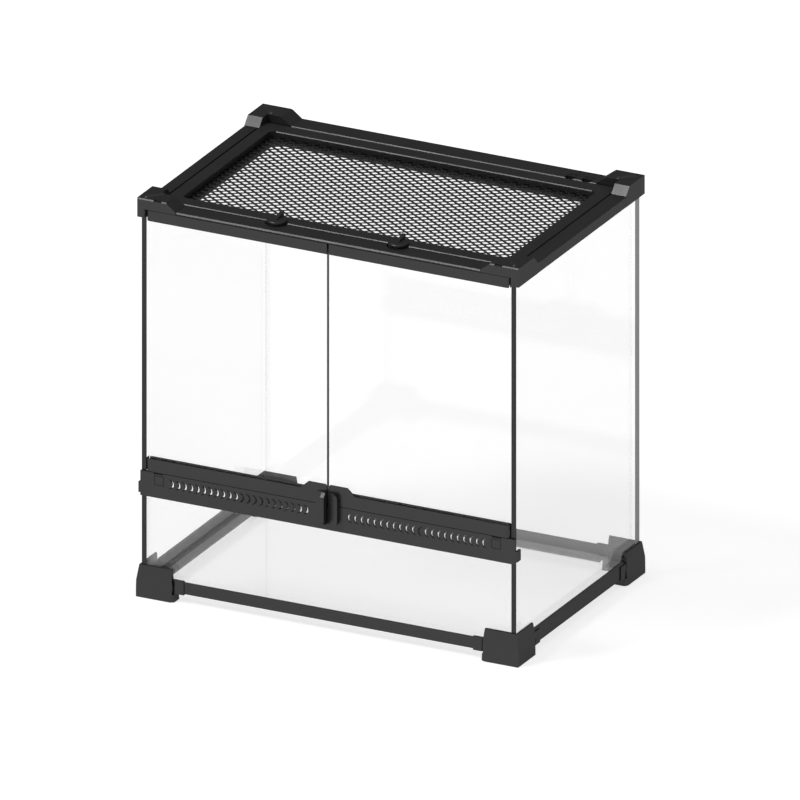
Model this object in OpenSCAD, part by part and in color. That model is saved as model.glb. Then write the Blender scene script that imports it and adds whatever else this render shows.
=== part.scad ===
// Glass reptile terrarium: two hinged front doors over a slotted vent strip, a lift-up
// lid with an expanded-metal mesh, two turn latches and two sliding cable port covers.
// Millimetres. X runs to the right, Y to the back, Z up. The origin is on the ground,
// in the middle of the four feet.

/* [Tank] */
// Width over the feet
tank_w = 300; // [270:5:330]
// Depth over the feet
tank_d = 200; // [190:5:240]
// Height of the flat corner tops
tank_h = 300; // [260:5:340]
// Thickness of the fixed glass panels
glass_t = 3.6; // [3:0.1:3.8]

/* [Doors] */
// Height of the top edge of the vent strip, below the doors
sill_z = 95.2; // [80:1:120]
// Thickness of the plastic door trims
trim_t = 5.6; // [5:0.1:6]
// Thickness of the door glass
door_glass_t = 3.5; // [3:0.1:3.6]
// Open seam between the two doors
door_seam = 1.4; // [0.8:0.1:2]
// How far the finger fin stands out of its plate
fin_reach = 4.7; // [3:0.1:5]

/* [Vent strip] */
// Height of the vent strip
strip_h = 18.7; // [17:0.1:22]
// Number of crescent slots on each side of the middle
slot_count = 22; // [4:1:22]
// Distance from one slot to the next
slot_pitch = 5; // [4.6:0.1:5]
// Height of a slot
slot_h = 7; // [6:0.1:8.6]

/* [Lid] */
// Width of the lid's side members
lid_side = 9.8; // [9:0.1:11]
// Diagonal of a mesh opening along X
cell_x = 18.2; // [16:0.1:24]
// Diagonal of a mesh opening along Y
cell_y = 12.6; // [11:0.1:16]
// Width of a mesh strand
strand = 2.2; // [1.5:0.1:3]
// Radius of a turn latch
latch_r = 7.4; // [6.8:0.1:8]

/* [Feet] */
// Height of a foot
foot_h = 24; // [22:0.5:30]
// Length of each wing of a foot
foot_l = 30; // [26:1:34]

/* [Hidden] */
$fn = 48;

BLACK = [0.17, 0.17, 0.17];
TRIM_BLACK = [0.22, 0.22, 0.22];
STRIP_BLACK = [0.12, 0.12, 0.12];
GLASS = [0.75, 0.85, 0.85, 0.35];
MESH_BLACK = [0.1, 0.1, 0.1];
STEEL = [0.7, 0.7, 0.72];
SEAL = [0.85, 0.87, 0.87, 0.6];
slack = 0.05; // between fixed pieces that sit against each other
gap = 0.3;    // between pieces that move past each other
eps = 1;      // how far a cutter runs past the face it cuts
break_edge = 0.6; // bevel along the edges that a hand meets

// Top frame
frame_x = tank_w / 2 - 0.8;
frame_front = -tank_d / 2 + 1.8;
frame_back = tank_d / 2 - 0.6;
rail_top = tank_h - 6;
rail_bottom = tank_h - 14.2;
rail_w = 11.7;        // width of the side rails
rail_front_w = 15;    // width of the front rail
rail_back_w = 16.8;   // width of the rear rail
ledge_w = 3.9;        // step that carries the lid
ledge_top = rail_bottom + 2.4;
rear_ledge_top = ledge_top - 0.6;
block_x = 30.2;       // length of a corner block along X, over its slope
block_y = 29.8;       // length of a corner block along Y, over its slope
slope_x = 8;          // length of the slope along X
slope_y = 5.6;        // length of the slope along Y
corner_edge_r = 0.8;  // radius of the upright corners
block_bevel = 0.8;    // bevel along the blocks' outer top edges
lip_bevel = 1.2;      // bevel along the front rail's top edge
rear_ledge = 3.4;     // width of the ledge at the rear

// Glass box
glass_x = frame_x - 3;
back_y = frame_back - 3.1;
back_t = glass_t + 0.4;
front_y = frame_front + 2.8;
glass_bottom = 8.5;
glass_top = rail_top - 1.8;
strip_edge_y = frame_front + 1.6; // front face of the black edge strips
strip_edge_d = 1;
back_inset = 0.8;     // the back glass stops short of the side panels' outer faces

// Doors
door_y = frame_front + trim_t / 2; // middle plane of the doors
hinge_x = glass_x - 7;
trim_low = sill_z + 0.4;
trim_low_h = 9.4;
lobe_h = 14.9;
lobe_x = 15.2;        // where the lobe starts to slope down
lobe_foot_x = 21.4;   // where its slope meets the trim
trim_top = rail_top - 2.1;
trim_top_h = 7.9;
lip_z = trim_top + 0.3;
pin_r = 1.2;
pin_play = 0.05;
pin_reach = 4.5;      // how far a hinge pin reaches into its trim
pin_low = 8;          // how deep the lower pin stands in the vent strip
pin_high = 5;         // how deep the upper pin hangs in its corner block
door_glass_low = trim_low + 5.4;
door_glass_high = trim_top - 4.6;
door_glass_in = door_seam / 2 + 0.4;
door_glass_out = hinge_x + 2.4;
recess_play = 0.6;    // between a door trim and the rail in front of the lid
plate_t = 1.3;        // thickness of the plate that carries the fin
scoop_t = 3.4;        // thickness of the other plate at its outer edge
plate_w = 8.9;
plate_r = 3.8;
plate_low = sill_z - 14;
plate_high = sill_z + 10.2;
plate_lift = 0.2;     // how far the plates stand off the vent strip
fin_in = 0.2;         // from the middle of the seam to the fin
fin_t = 3.1;
fin_cut = 2.8;        // bevel at the fin's two ends

// Vent strip
strip_wall = 1.5;
strip_low = sill_z - strip_h;
slot_z = sill_z - 6.7;
slot_first = 16.25;
strip_web = 6.6;      // height of the part that holds the front glass
strip_roof = 1.5;     // thickness of the web over the front glass
strip_floor_y = front_y + glass_t + 1.5;

// Lid
lid_top = rail_top + 0.7;
lid_bottom = rail_bottom + 1.1;
lid_x = frame_x - rail_w - gap;
lid_front = frame_front + rail_front_w + gap;
pivot_y = frame_back - rail_back_w - gap - 3.3;
pivot_z = lid_top - 3.3;
pivot_r = 3.3;
lid_front_w = 11.4;
lid_rear_y = pivot_y - 11.6;
lid_step = 3.9;       // how far the lid's lower part stands in from its edge
opening_r = 4;        // radius of the lid opening's corners
shelf_w = 5.7;        // shelf that the mesh lies on
mesh_z = lid_top - 5.1;
mesh_t = 0.8;
mesh_hold = 2;        // how far the mesh runs into the lid frame
ear_r = 7.3;
ear_play = 0.8;
pivot_in = 4;         // how far a pivot pin reaches into the lid
lid_pin_r = 1.5;

// Turn latches
latch_x = 47.5;
latch_y = lid_front + 0.1;
latch_low = lid_top + gap;
latch_t = 1.9;
latch_edge = 0.7;     // bevel round the disc
latch_fin_w = 2.4;
shaft_r = 2.5;
clip_top = ledge_top;
clip_r = 3.6;
clip_t = 1.2;

// Cable ports
port_xs = [97.9, 110.7];
port_w = 7.4;
port_hole_w = 5.2;
port_y = frame_back - rail_back_w;
port_hole_d = 4.4;
port_back = port_y + 8.9; // the back glass starts 0.8 mm behind it
port_floor = rail_top - 4.1;
port_foot = 0.8;      // how far the cover's foot runs out on each side
port_foot_h = 1.5;

// Base
base_low = 7;
base_wall = 1.2;      // wall of the front and rear rails
side_wall = 1.6;      // wall of the side rails
side_lip = 2.9;       // leaning lip on top of the side rails
base_h = 9;
flange_in = 10;
foot_wall_in = 2.6;
sleeve_t = 0.7;       // wall of the sleeves over the rails' ends
sleeve_out = 7;       // how far a sleeve reaches past its foot
sleeve_in = 6;        // and into it
knee_z = 13;          // height at which a foot's faces start to lean in more
knee_in = 0.8;
top_in = 2.4;
pocket_low = 5.5;     // pocket beside the rail, in the end of a foot's wing
pocket_high = 16;
pocket_deep = 7;

// ---- helpers ------------------------------------------------------------------------

// Box between two corners
module span(a, b) {
    translate(a) cube(b - a);
}

// Profile drawn in X and Z, pushed along Y from y0 to y1
module along_y(points, y0, y1) {
    translate([0, y1, 0]) rotate([90, 0, 0]) linear_extrude(y1 - y0) polygon(points);
}

// Profile drawn in Y and Z, pushed along X from x0 to x1
module along_x(points, x0, x1) {
    translate([x0, 0, 0]) rotate([90, 0, 90]) linear_extrude(x1 - x0) polygon(points);
}

// Left pieces are drawn as right ones and mirrored
module on_side(side) {
    mirror([side < 0 ? 1 : 0, 0, 0]) children();
}

// ---- base ---------------------------------------------------------------------------

// Foot under the right-hand corner, drawn at the back and mirrored to the front
module foot_body() {
    x = tank_w / 2;
    y = tank_d / 2;
    w = tank_w / 2 - glass_x + glass_t + foot_wall_in;
    corner_r = 2.5;
    end_in = 3.3;
    end_deep = 2.2;
    intersection() {
        // L-shaped footprint with a round outer corner and slanted wing ends
        linear_extrude(foot_h) union() {
            polygon([[x - foot_l, y - w], [x - corner_r, y - w], [x - corner_r, y],
                [x - foot_l + end_in, y], [x - foot_l, y - end_deep]]);
            polygon([[x - w, y - foot_l], [x - w, y - corner_r], [x, y - corner_r],
                [x, y - foot_l + end_in], [x - end_deep, y - foot_l]]);
            translate([x - corner_r, y - corner_r]) circle(corner_r);
            translate([x - w, y - w]) square(w - corner_r);
        }
        // Faces lean in towards the glass, and the wing's end slopes
        along_y(foot_profile(x), y - foot_l - eps, y + eps);
        along_x(foot_profile(y), x - foot_l - eps, x + eps);
    }
}

// Outline of a foot's wing, whose outer face stands at out
function foot_profile(out) =
    let (sole = 0.6, toe_in = 2.4)
    [[out - foot_l, 0], [out - sole, 0], [out, sole], [out - knee_in, knee_z],
    [out - top_in, foot_h], [out - foot_l + toe_in, foot_h]];

// Sleeve over the end of a rail that runs along X, with its outer face at out
module sleeve(out, t) {
    x = tank_w / 2 - foot_l;
    span([x - sleeve_out, out + slack, base_low - sleeve_t],
        [x + sleeve_in, out + t + sleeve_t, base_low + base_h + sleeve_t]);
}

// Room for the rail inside that sleeve, and the pocket beside it in the wing's end
module sleeve_cut(out, t) {
    x = tank_w / 2 - foot_l;
    span([-eps, out - flange_in, base_low - slack],
        [x, out + t + slack, base_low + base_h + slack]);
    face = out + t + slack;
    skin = tank_d / 2 - knee_in;
    along_x([[face, pocket_low], [skin - 0.3, pocket_low], [skin - 0.8, knee_z],
        [skin - 1.1, pocket_high], [face, pocket_high]], x - slack, x + pocket_deep);
}

// The same along the other wing: X and Y change places
module other_wing() {
    shift = (tank_w - tank_d) / 2;
    translate([shift, 0, 0]) mirror([1, -1, 0]) translate([-shift, 0, 0]) children();
}

module foot(side, end) {
    wall_y = end < 0 ? -front_y : back_y;       // outer face of the front or back glass
    side_end = end < 0 ? -strip_edge_y : back_y;
    inner_x = glass_x - glass_t - slack;
    shift = (tank_w - tank_d) / 2;
    color(TRIM_BLACK) on_side(side) mirror([0, end < 0 ? 1 : 0, 0]) difference() {
        union() {
            foot_body();
            sleeve(wall_y, base_wall);
            other_wing() sleeve(glass_x - shift, side_wall);
        }
        // Corner that the glass box stands in
        span([-eps, -eps, glass_bottom], [glass_x + slack, wall_y + slack, foot_h + eps]);
        span([inner_x, -eps, glass_bottom], [glass_x + slack, side_end + slack, foot_h + eps]);
        sleeve_cut(wall_y, base_wall);
        other_wing() sleeve_cut(glass_x - shift, side_wall);
        // The side rail's lip stands up through its sleeve
        span([glass_x - eps, -eps, base_low + base_h - eps],
            [glass_x + side_wall, tank_d / 2 - foot_l, foot_h + eps]);
    }
}
module foot_front_left() { foot(-1, -1); }
module foot_front_right() { foot(1, -1); }
module foot_rear_left() { foot(-1, 1); }
module foot_rear_right() { foot(1, 1); }

// L-shaped rail along the lower edge of a panel, whose outer face is at out
function rail_profile(out, wall, lip) = concat(
    [[out + wall, base_low], [out + wall, base_low + base_h]],
    lip > 0 ? [[out + 0.3, base_low + base_h + lip]] : [],
    [[out + slack, base_low + base_h + lip], [out + slack, glass_bottom],
    [out - flange_in + slack, glass_bottom], [out - flange_in + slack, base_low]]);

module base_rail_along_x(out, end) {
    half = tank_w / 2 - foot_l - slack;
    color(BLACK) mirror([0, end < 0 ? 1 : 0, 0])
        along_x(rail_profile(out, base_wall, 0), -half, half);
}
module base_rail_along_y(side) {
    half = tank_d / 2 - foot_l - slack;
    color(BLACK) on_side(side) along_y(rail_profile(glass_x, side_wall, side_lip), -half, half);
}
module base_rail_front() { base_rail_along_x(-front_y, -1); }
module base_rail_rear() { base_rail_along_x(back_y, 1); }
module base_rail_left() { base_rail_along_y(-1); }
module base_rail_right() { base_rail_along_y(1); }

// ---- glass box ----------------------------------------------------------------------

module bottom_glass() {
    inner = glass_x - glass_t - 2 * slack;
    color(GLASS) span([-inner, front_y + glass_t + slack, glass_bottom],
        [inner, back_y - back_t - slack, glass_bottom + glass_t]);
}
module back_glass() {
    x = glass_x - back_inset;
    color(GLASS) span([-x, back_y - back_t, glass_bottom], [x, back_y, glass_top]);
}
module side_glass(side) {
    color(GLASS) on_side(side) span(
        [glass_x - glass_t, strip_edge_y + strip_edge_d + slack, glass_bottom],
        [glass_x, back_y - back_t - slack, glass_top]);
}
module left_glass() { side_glass(-1); }
module right_glass() { side_glass(1); }
module front_glass() {
    inner = glass_x - glass_t - 2 * slack;
    color(GLASS) span([-inner, front_y, glass_bottom],
        [inner, front_y + glass_t, strip_low + strip_web - strip_roof]);
}
module edge_strip(side) {
    color(STRIP_BLACK) on_side(side) span([glass_x - glass_t, strip_edge_y, glass_bottom],
        [glass_x, strip_edge_y + strip_edge_d, glass_top]);
}
module edge_strip_left() { edge_strip(-1); }
module edge_strip_right() { edge_strip(1); }

// Silicone beads in the upright corners at the back
module corner_seals() {
    leg = 2.6;
    x = glass_x - glass_t;
    y = back_y - back_t;
    for (side = [-1, 1])
        color(SEAL) on_side(side)
            translate([0, 0, glass_bottom + glass_t + slack])
                linear_extrude(rail_bottom - glass_bottom - glass_t - 2 * slack)
                    polygon([[x, y], [x - leg, y], [x, y - leg]]);
}

// ---- vent strip ---------------------------------------------------------------------

// Crescent slot, bulging towards the middle of the strip
module crescent() {
    r = slot_h / 2;
    wide = 1.5;
    linear_extrude(strip_wall + 2 * eps) difference() {
        translate([r - 1, 0]) circle(r, $fn = 24);
        translate([r - 1 + wide, 0]) circle(r + 0.1, $fn = 24);
    }
}

module vent_strip() {
    back = strip_floor_y;
    web_z = strip_low + strip_web;
    groove_y = front_y + glass_t + slack;
    end_x = glass_x + 0.3;
    block_in = hinge_x - 4.7;
    block_out = glass_x - glass_t - gap;
    color(TRIM_BLACK) difference() {
        union() {
            // Front wall, top shelf and the channel over the front glass
            along_x([[frame_front, strip_low], [frame_front, sill_z], [back, sill_z],
                [back, sill_z - 1.8], [frame_front + strip_wall, sill_z - 1.8],
                [frame_front + strip_wall, web_z], [back, web_z],
                [back, strip_low + 1.6], [groove_y, strip_low + 1.6],
                [groove_y, web_z - strip_roof], [front_y - slack, web_z - strip_roof],
                [front_y - slack, strip_low]], -block_out, block_out);
            for (side = [-1, 1]) on_side(side) {
                // Solid end that takes the hinge pin
                span([block_in, frame_front + 0.5, web_z - 0.5], [block_out, back, sill_z]);
                // Overhang in front of the edge strip, and the clip beside it
                span([block_out - 0.5, frame_front, strip_low],
                    [end_x, strip_edge_y, sill_z]);
                span([glass_x + slack, frame_front, strip_low + 2],
                    [glass_x + 1.8, frame_front + 6, strip_low + 10]);
            }
            // Ribs between the shelf and the channel
            for (x = [-68.75, 0, 68.75])
                span([x - 0.8, frame_front + 0.5, web_z - 0.5],
                    [x + 0.8, back, sill_z - 0.5]);
        }
        for (side = [-1, 1]) on_side(side) {
            for (i = [0 : slot_count - 1])
                translate([slot_first + i * slot_pitch, frame_front + strip_wall + eps,
                    slot_z]) rotate([90, 0, 0]) crescent();
            // Finger notch in the top edge and the outline of the snap window
            span([hinge_x - 10.7, frame_front - eps, sill_z - 0.9],
                [hinge_x - 3.2, frame_front + 1.2, sill_z + eps]);
            snap_outline();
            translate([hinge_x, door_y, sill_z - pin_low])
                cylinder(h = pin_low + eps, r = pin_r);
        }
    }
}

// Shallow square groove round the snap window
module snap_outline() {
    w = 7.4;
    line = 0.5;
    translate([hinge_x - 11.2, frame_front + 0.35, sill_z - 9.2]) rotate([90, 0, 0])
        linear_extrude(eps) difference() {
            square(w);
            translate([line, line]) square(w - 2 * line);
        }
}

// ---- top frame ----------------------------------------------------------------------

// Long raised rib on a corner block, along the corner's diagonal
module corner_rib(y) {
    rib_r = 3;
    sunk = 1.8;   // how far its axis lies under the flat top
    out = 5.4;    // from the outer faces to its outer end's middle
    length = 11.5;
    translate([frame_x - out, y - out, tank_h - sunk]) rotate([0, 0, 45]) {
        sphere(rib_r, $fn = 32);
        rotate([0, -90, 0]) cylinder(h = length, r = rib_r, $fn = 32);
        translate([-length, 0, 0]) sphere(rib_r, $fn = 32);
    }
}

// Corner block on the right; outer is its outer face in Y, depth its width along Y
module corner_block(side, end) {
    outer = end < 0 ? -frame_front : frame_back;
    depth = end < 0 ? rail_front_w : rail_back_w;
    wall_y = end < 0 ? -strip_edge_y : back_y;
    x_in = frame_x - block_x;
    y_in = outer - block_y;
    side_in = frame_x - rail_w;
    ledge = end < 0 ? ledge_w : rear_ledge;
    color(TRIM_BLACK) on_side(side) mirror([0, end < 0 ? 1 : 0, 0]) difference() {
        union() {
            intersection() {
                union() {
                    along_y([[x_in, rail_bottom], [frame_x, rail_bottom],
                        [frame_x, tank_h], [x_in + slope_x, tank_h],
                        [x_in, rail_top]], outer - depth, outer);
                    along_x([[y_in, rail_bottom], [outer, rail_bottom],
                        [outer, tank_h], [y_in + slope_y, tank_h],
                        [y_in, rail_top]], side_in, frame_x);
                }
                // Round upright corner and bevelled outer edges
                outer_shell(outer, block_bevel);
            }
            intersection() {
                corner_rib(outer);
                outer_shell(outer, 0, 4);
            }
            // Ledge that carries the lid
            span([x_in, outer - depth - ledge, rail_bottom],
                [frame_x - rail_w + 0.5, outer - depth + 0.5,
                end < 0 ? ledge_top : rear_ledge_top]);
            span([side_in - ledge_w, y_in, rail_bottom],
                [side_in + 0.5, outer - depth, end < 0 ? ledge_top : rear_ledge_top]);
        }
        // Side glass and, at the back, the back glass
        span([glass_x - glass_t - slack, -eps, rail_bottom - eps],
            [glass_x + slack, wall_y + slack, glass_top]);
        if (end > 0)
            span([-eps, back_y - back_t - slack, rail_bottom - eps],
                [glass_x + slack, back_y + slack, glass_top]);
        else door_recess(outer);
        // Bore for the lid pivot
        if (end > 0)
            translate([side_in - eps, pivot_y, pivot_z]) rotate([0, 90, 0])
                cylinder(h = 5, r = lid_pin_r + pin_play);
    }
}

// Outer envelope of the top frame's right half: round upright corner, bevelled edge
module outer_shell(outer, bevel, extra = 0) {
    r = corner_edge_r;
    top = tank_h + extra;
    intersection() {
        translate([0, 0, rail_bottom]) linear_extrude(top - rail_bottom) union() {
            square([frame_x - r, outer]);
            square([frame_x, outer - r]);
            translate([frame_x - r, outer - r]) circle(r);
        }
        along_x([[-eps, rail_bottom], [outer, rail_bottom], [outer, top - bevel],
            [outer - bevel, top], [-eps, top]], -eps, frame_x + eps);
    }
}

// Space in a front corner block for the door trim's end, with the hinge pin's bore
module door_recess(outer) {
    end_play = 1.5;
    span([-eps, -door_y - trim_t / 2 - recess_play, rail_bottom - eps],
        [hinge_x + trim_t / 2 + end_play, outer + eps, lip_z]);
    translate([hinge_x, -door_y, lip_z - eps]) cylinder(h = pin_high + eps, r = pin_r);
    // Shallow notch in the front edge of the block's top
    notch_x = frame_x - 19.2;
    notch_w = 6.3;
    span([notch_x, outer - 2.4, tank_h - 0.8],
        [notch_x + notch_w, outer + eps, tank_h + eps]);
}
module corner_front_left() { corner_block(-1, -1); }
module corner_front_right() { corner_block(1, -1); }
module corner_rear_left() { corner_block(-1, 1); }
module corner_rear_right() { corner_block(1, 1); }

module top_rail_front() {
    half = frame_x - block_x;
    back = frame_front + rail_front_w;
    front = door_y + trim_t / 2 + recess_play;
    bevel = lip_bevel;
    color(BLACK) difference() {
        along_x([[frame_front, lip_z], [frame_front, rail_top - bevel],
            [frame_front + bevel, rail_top], [back, rail_top], [back, ledge_top],
            [back + ledge_w, ledge_top], [back + ledge_w, rail_bottom],
            [front, rail_bottom], [front, lip_z]], -half, half);
        // Half-round pockets for the lid's ears
        for (side = [-1, 1])
            translate([side * latch_x, latch_y, rail_bottom - eps])
                cylinder(h = rail_top - rail_bottom + 2 * eps, r = ear_r + ear_play);
    }
}

module top_rail_rear() {
    half = frame_x - block_x;
    front = frame_back - rail_back_w;
    color(BLACK) difference() {
        along_x([[front, rail_top - break_edge], [front + break_edge, rail_top],
            [frame_back - break_edge, rail_top], [frame_back, rail_top - break_edge],
            [frame_back, rail_bottom], [back_y + slack, rail_bottom],
            [back_y + slack, glass_top],
            [back_y - back_t - slack, glass_top],
            [back_y - back_t - slack, rail_bottom], [front - rear_ledge, rail_bottom],
            [front - rear_ledge, rear_ledge_top], [front, rear_ledge_top]], -half, half);
        for (x = port_xs) translate([x, 0, 0]) port_cut();
    }
}

// Notch for a cable and the T-shaped track of its sliding cover
module port_cut() {
    span([-port_hole_w / 2, port_y - eps, rear_ledge_top],
        [port_hole_w / 2, port_y + port_hole_d, rail_top + eps]);
    span([-port_hole_w / 2, port_y + 0.1, rail_bottom - eps],
        [port_hole_w / 2, port_y + port_hole_d, rail_top]);
    span([-port_w / 2, port_y + 0.4, port_floor], [port_w / 2, port_back, rail_top + eps]);
    span([-port_w / 2 - port_foot, port_y + 0.4, port_floor],
        [port_w / 2 + port_foot, port_back, port_floor + port_foot_h]);
}

module top_rail_side(side) {
    side_in = frame_x - rail_w;
    bevel = break_edge;
    y0 = frame_front + block_y;
    y1 = frame_back - block_y;
    color(BLACK) on_side(side) along_y([[frame_x, rail_bottom], [frame_x, rail_top - bevel],
        [frame_x - bevel, rail_top], [side_in, rail_top], [side_in, ledge_top],
        [side_in - ledge_w, ledge_top], [side_in - ledge_w, rail_bottom],
        [glass_x - glass_t - slack, rail_bottom],
        [glass_x - glass_t - slack, glass_top], [glass_x + slack, glass_top],
        [glass_x + slack, rail_bottom]], y0, y1);
}
module top_rail_left() { top_rail_side(-1); }
module top_rail_right() { top_rail_side(1); }

// Steel pins on which a door turns: one hangs from the corner block, one stands in the
// vent strip
module hinge_pins(side) {
    color(STEEL) on_side(side) {
        translate([hinge_x, door_y, sill_z - pin_low]) cylinder(h = pin_low + pin_reach, r = pin_r);
        translate([hinge_x, door_y, lip_z - pin_reach]) cylinder(h = pin_reach + pin_high, r = pin_r);
    }
}
module hinge_pins_left() { hinge_pins(-1); }
module hinge_pins_right() { hinge_pins(1); }

// ---- doors --------------------------------------------------------------------------

module door_glass(side) {
    color(GLASS) on_side(side) span(
        [door_glass_in, door_y - door_glass_t / 2, door_glass_low],
        [door_glass_out, door_y + door_glass_t / 2, door_glass_high]);
}
module door_glass_left() { door_glass(-1); }
module door_glass_right() { door_glass(1); }

// Slot for the door glass, cut along the trim
module glass_groove(z0, z1) {
    span([door_glass_in - slack, door_y - door_glass_t / 2 - slack, z0],
        [door_glass_out + slack, door_y + door_glass_t / 2 + slack, z1]);
}

module trim_end(z0, z1) {
    translate([hinge_x, door_y, z0]) cylinder(h = z1 - z0, r = trim_t / 2);
}

module trim_bore(z0, z1) {
    translate([hinge_x, door_y, z0]) cylinder(h = z1 - z0, r = pin_r + pin_play);
}

module door_top_trim(side) {
    low = trim_top - trim_top_h;
    color(TRIM_BLACK) on_side(side) difference() {
        union() {
            span([door_seam / 2, frame_front, low],
                [hinge_x, frame_front + trim_t, trim_top]);
            trim_end(low, trim_top);
        }
        glass_groove(low - eps, door_glass_high);
        trim_bore(low - eps, trim_top + eps);
    }
}
module door_top_trim_left() { door_top_trim(-1); }
module door_top_trim_right() { door_top_trim(1); }

// The lower trim's front wall swells up into a lobe at the middle of the tank
module door_bottom_trim(side) {
    high = trim_low + trim_low_h;
    lobe = trim_low + lobe_h;
    edge = door_seam / 2;
    cut = 1.2;
    color(TRIM_BLACK) on_side(side) difference() {
        union() {
            span([edge, frame_front, trim_low], [hinge_x, frame_front + trim_t, high]);
            trim_end(trim_low, high);
            along_y([[edge, high - eps], [lobe_foot_x, high - eps], [lobe_foot_x, high],
                [lobe_x, lobe], [edge + cut, lobe], [edge, lobe - cut]],
                frame_front, door_y - door_glass_t / 2);
        }
        glass_groove(door_glass_low, lobe + eps);
        trim_bore(trim_low - eps, high + eps);
    }
}
module door_bottom_trim_left() { door_bottom_trim(-1); }
module door_bottom_trim_right() { door_bottom_trim(1); }

// Plate with round outer corners that hangs over the vent strip, cut from a block that is
// inner_t thick at the seam and outer_t at its outer edge
module handle_plate(inner_t, outer_t) {
    edge = door_seam / 2;
    h = plate_high - plate_low;
    rim = 1.5;
    intersection() {
        translate([0, frame_front, plate_low]) rotate([90, 0, 0])
            linear_extrude(outer_t) union() {
                translate([edge, 0]) square([plate_w - edge - plate_r, h]);
                translate([edge, plate_r]) square([plate_w - edge, h - 2 * plate_r]);
                translate([plate_w - plate_r, plate_r]) circle(plate_r);
                translate([plate_w - plate_r, h - plate_r]) circle(plate_r);
            }
        // The scoop for a fingertip
        translate([0, 0, plate_low - eps]) linear_extrude(h + 2 * eps) polygon([
            [edge, frame_front], [plate_w, frame_front], [plate_w, frame_front - outer_t],
            [plate_w - rim, frame_front - outer_t], [edge, frame_front - inner_t]]);
    }
}

// Thin relief behind a plate, so that it clears the vent strip
module plate_relief() {
    span([-plate_w - eps, frame_front - plate_lift, plate_low - eps],
        [plate_w + eps, frame_front + eps, trim_low]);
}

// The left door carries the finger fin, which laps the seam
module door_handle_left() {
    tip = frame_front - plate_t - fin_reach;
    root = frame_front - plate_t / 2;
    color(TRIM_BLACK) difference() {
        union() {
            on_side(-1) handle_plate(plate_t, plate_t);
            along_x([[root, plate_low], [tip + fin_cut, plate_low],
                [tip, plate_low + fin_cut], [tip, plate_high - fin_cut],
                [tip + fin_cut, plate_high], [root, plate_high]], -fin_in - fin_t, -fin_in);
        }
        plate_relief();
    }
}
module door_handle_right() {
    color(TRIM_BLACK) difference() {
        handle_plate(plate_t, scoop_t);
        plate_relief();
    }
}

// ---- lid ----------------------------------------------------------------------------

// Upright opening in the lid with round corners, set in by d from the mesh's window
module lid_opening(d, z0, z1) {
    x = lid_x - lid_side - d;
    y0 = lid_front + lid_front_w + d;
    y1 = lid_rear_y - d;
    r = opening_r;
    span([-x + r, y0, z0], [x - r, y1, z1]);
    span([-x, y0 + r, z0], [x, y1 - r, z1]);
    for (cx = [-x + r, x - r], cy = [y0 + r, y1 - r])
        translate([cx, cy, z0]) cylinder(h = z1 - z0, r = r);
}

module lid_frame() {
    in_x = lid_x - lid_side;
    in_front = lid_front + lid_front_w;
    color(BLACK) difference() {
        union() {
            along_x([[lid_front, ledge_top + gap], [lid_front, lid_top - break_edge],
                [lid_front + break_edge, lid_top], [pivot_y, lid_top],
                [pivot_y, ledge_top + gap]], -lid_x, lid_x);
            span([-lid_x + lid_step, lid_front + lid_step, lid_bottom],
                [lid_x - lid_step, pivot_y - lid_step, ledge_top + 2 * gap]);
            // Round rear edge on the axis of the pivots
            translate([-lid_x, pivot_y, pivot_z]) rotate([0, 90, 0])
                cylinder(h = 2 * lid_x, r = pivot_r);
            // Ears that carry the turn latches
            for (side = [-1, 1])
                translate([side * latch_x, latch_y, clip_top + gap])
                    cylinder(h = lid_top - clip_top - 2 * gap, r = ear_r);
        }
        lid_opening(0, mesh_z, lid_top + eps);
        lid_opening(shelf_w, lid_bottom - eps, lid_top + eps);
        // Bevel along the opening's rear edge
        along_x([[lid_rear_y - eps, lid_top - break_edge - eps],
            [lid_rear_y + break_edge + eps, lid_top + eps], [lid_rear_y - eps, lid_top + eps]],
            -in_x + opening_r, in_x - opening_r);
        // Groove that grips the edge of the mesh
        span([-in_x - mesh_hold - slack, in_front - mesh_hold - slack, mesh_z],
            [in_x + mesh_hold + slack, lid_rear_y + mesh_hold + slack,
            mesh_z + mesh_t + slack]);
        for (side = [-1, 1]) {
            translate([side * latch_x, latch_y, lid_bottom - eps])
                cylinder(h = lid_top - lid_bottom + 2 * eps, r = shaft_r + pin_play);
            on_side(side) translate([lid_x - pivot_in, pivot_y, pivot_z])
                rotate([0, 90, 0]) cylinder(h = pivot_in + eps, r = lid_pin_r);
        }
    }
}

// Expanded-metal sheet: diamond openings in staggered rows, plain where it lies on the
// lid's shelf
module lid_mesh() {
    in_x = lid_x - lid_side - shelf_w;
    in_front = lid_front + lid_front_w + shelf_w;
    in_rear = lid_rear_y - shelf_w;
    border = shelf_w + mesh_hold;
    mid_y = (in_front + in_rear) / 2;
    half_y = (in_rear - in_front) / 2;
    nx = ceil(in_x / cell_x);
    ny = ceil(half_y / cell_y);
    hole_x = (cell_x - strand * norm([cell_x, cell_y]) / cell_y) / 2;
    hole_y = (cell_y - strand * norm([cell_x, cell_y]) / cell_x) / 2;
    color(MESH_BLACK) translate([0, mid_y, mesh_z]) linear_extrude(mesh_t) difference() {
        square([2 * (in_x + border), 2 * (half_y + border)], center = true);
        intersection() {
            square([2 * in_x, 2 * half_y], center = true);
            for (i = [-nx : nx], j = [-ny : ny], odd = [0, 1])
                translate([(i + odd / 2) * cell_x, (j + odd / 2) * cell_y])
                    polygon([[hole_x, 0], [0, hole_y], [-hole_x, 0], [0, -hole_y]]);
        }
    }
}

module lid_pivots() {
    for (side = [-1, 1])
        color(STEEL) on_side(side) translate([lid_x - pivot_in, pivot_y, pivot_z])
            rotate([0, 90, 0]) cylinder(h = 2 * pivot_in, r = lid_pin_r);
}

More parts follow.
